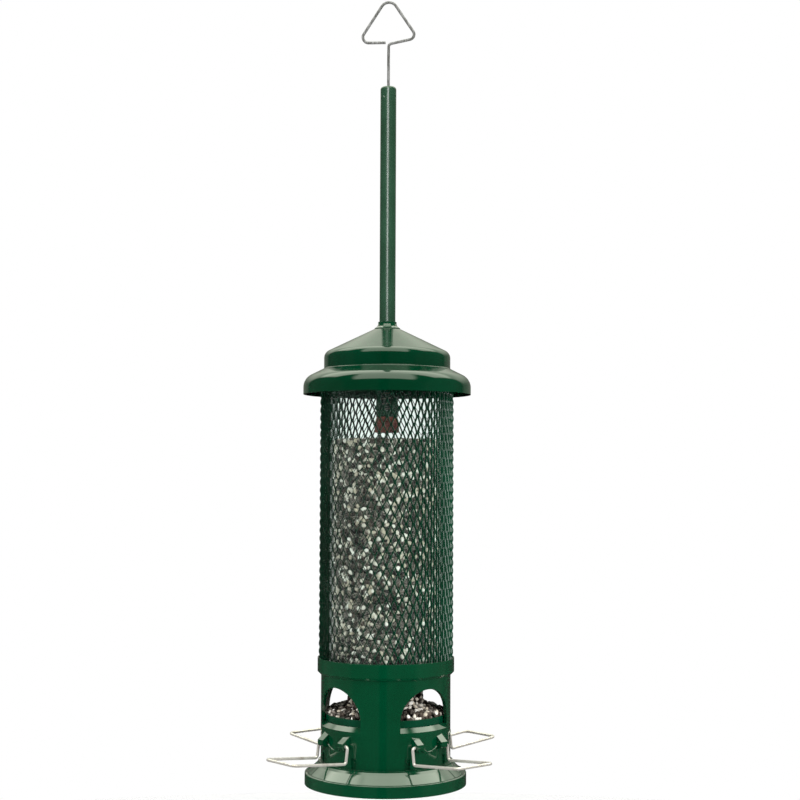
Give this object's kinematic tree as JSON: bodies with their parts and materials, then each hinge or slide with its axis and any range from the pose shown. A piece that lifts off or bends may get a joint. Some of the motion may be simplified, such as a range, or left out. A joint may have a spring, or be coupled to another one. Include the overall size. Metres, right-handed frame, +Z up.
{
  "type": "hanging bird feeder",
  "caption": "Hanging tube bird feeder with a two-step roof, and a sprung mesh shroud whose ported base, wire perches and tray drop under weight to close the ports.",
  "frame": {"origin": "where a hook bears inside the top of the hanger loop", "axes": "+Z up along the tube; -Y is the front, where the wall between two ports faces; the hanger loop lies in the XZ plane"},
  "size_m": [0.1794, 0.1794, 0.6599],
  "materials": {
    "base_plastic": "glossy moulded dark green",
    "inner_plastic": "glossy moulded dark green",
    "roof_paint": "gloss powder coat, dark green",
    "tube_paint": "satin gloss powder coat, dark green",
    "mesh_paint": "gloss powder coat, dark green",
    "hanger_steel": "dark olive coated wire",
    "perch_steel": "bright plated wire",
    "clear_plastic": "clear moulded tube",
    "nut_plastic": "moulded red",
    "spring_steel": "zinc plated, bronze tone",
    "fittings": "plain plated",
    "washer_brass": "plain",
    "seed_dark": "dry seed hulls, contents only",
    "seed_pale": "dry pale seed, contents only"
  },
  "bodies": {
    "hanger": {"hanger_wire": "hanger_steel", "wire_stop": "fittings", "thrust_washer": "washer_brass"},
    "tube": {"hanger_tube": "tube_paint", "tube_plug": "inner_plastic", "stop_ring": "fittings"},
    "roof": {"roof": "roof_paint", "roof_collar": "base_plastic"},
    "shroud": {"shroud_spider": "tube_paint", "spider_rivets": "fittings", "cage_top_ring": "mesh_paint", "cage_mesh": "mesh_paint", "cage_base_ring": "base_plastic", "port_housing": "base_plastic", "tray": "base_plastic", "tray_screws": "fittings"},
    "perch_front_left": {"perch_front_left": "perch_steel"},
    "perch_front_right": {"perch_front_right": "perch_steel"},
    "perch_back_left": {"perch_back_left": "perch_steel"},
    "perch_back_right": {"perch_back_right": "perch_steel"},
    "seed_column": {"seed_tube_bridge": "inner_plastic", "seed_tube": "clear_plastic", "bridge_screws": "fittings", "seed_funnel": "inner_plastic", "seed_dish": "inner_plastic", "dish_screws": "fittings", "closing_spring": "spring_steel"},
    "adjusting_nut": {"adjusting_nut": "nut_plastic"}
  },
  "joints": [
    {"name": "hanger_swivel", "type": "hinge", "parent": "hanger", "child": "tube", "pos_m": [0, 0, -0.088], "axis": [0, 0, 1], "continuous": true},
    {"name": "roof_lift", "type": "slide", "parent": "tube", "child": "roof", "axis": [0, 0, 1], "range_m": [0, 0.18]},
    {"name": "shroud_drop", "type": "slide", "parent": "tube", "child": "shroud", "axis": [0, 0, -1], "range_m": [0, 0.022], "stiffness_N_per_m": 205, "springref_m": -0.064, "deforming": ["closing_spring"]},
    {"name": "column_travel", "type": "slide", "parent": "tube", "child": "seed_column", "axis": [0, 0, 1], "range_m": [-0.006, 0]},
    {"name": "nut_turn", "type": "hinge", "parent": "seed_column", "child": "adjusting_nut", "pos_m": [0, 0, -0.36], "axis": [0, 0, 1], "range_deg": [-720, 0]},
    {"name": "perch_back_right_fold", "type": "hinge", "parent": "shroud", "child": "perch_back_right", "pos_m": [0.03932, 0.03932, -0.62], "axis": [0.7071, -0.7071, 0], "range_deg": [0, 90]},
    {"name": "perch_back_left_fold", "type": "hinge", "parent": "shroud", "child": "perch_back_left", "pos_m": [-0.03932, 0.03932, -0.62], "axis": [0.7071, 0.7071, 0], "range_deg": [0, 90]},
    {"name": "perch_front_left_fold", "type": "hinge", "parent": "shroud", "child": "perch_front_left", "pos_m": [-0.03932, -0.03932, -0.62], "axis": [-0.7071, 0.7071, 0], "range_deg": [0, 90]},
    {"name": "perch_front_right_fold", "type": "hinge", "parent": "shroud", "child": "perch_front_right", "pos_m": [0.03932, -0.03932, -0.62], "axis": [-0.7071, -0.7071, 0], "range_deg": [0, 90]}
  ],
  "couplings": [
    {"joint": "nut_turn", "follows": "column_travel", "rad_per_m": 2094.4}
  ]
}
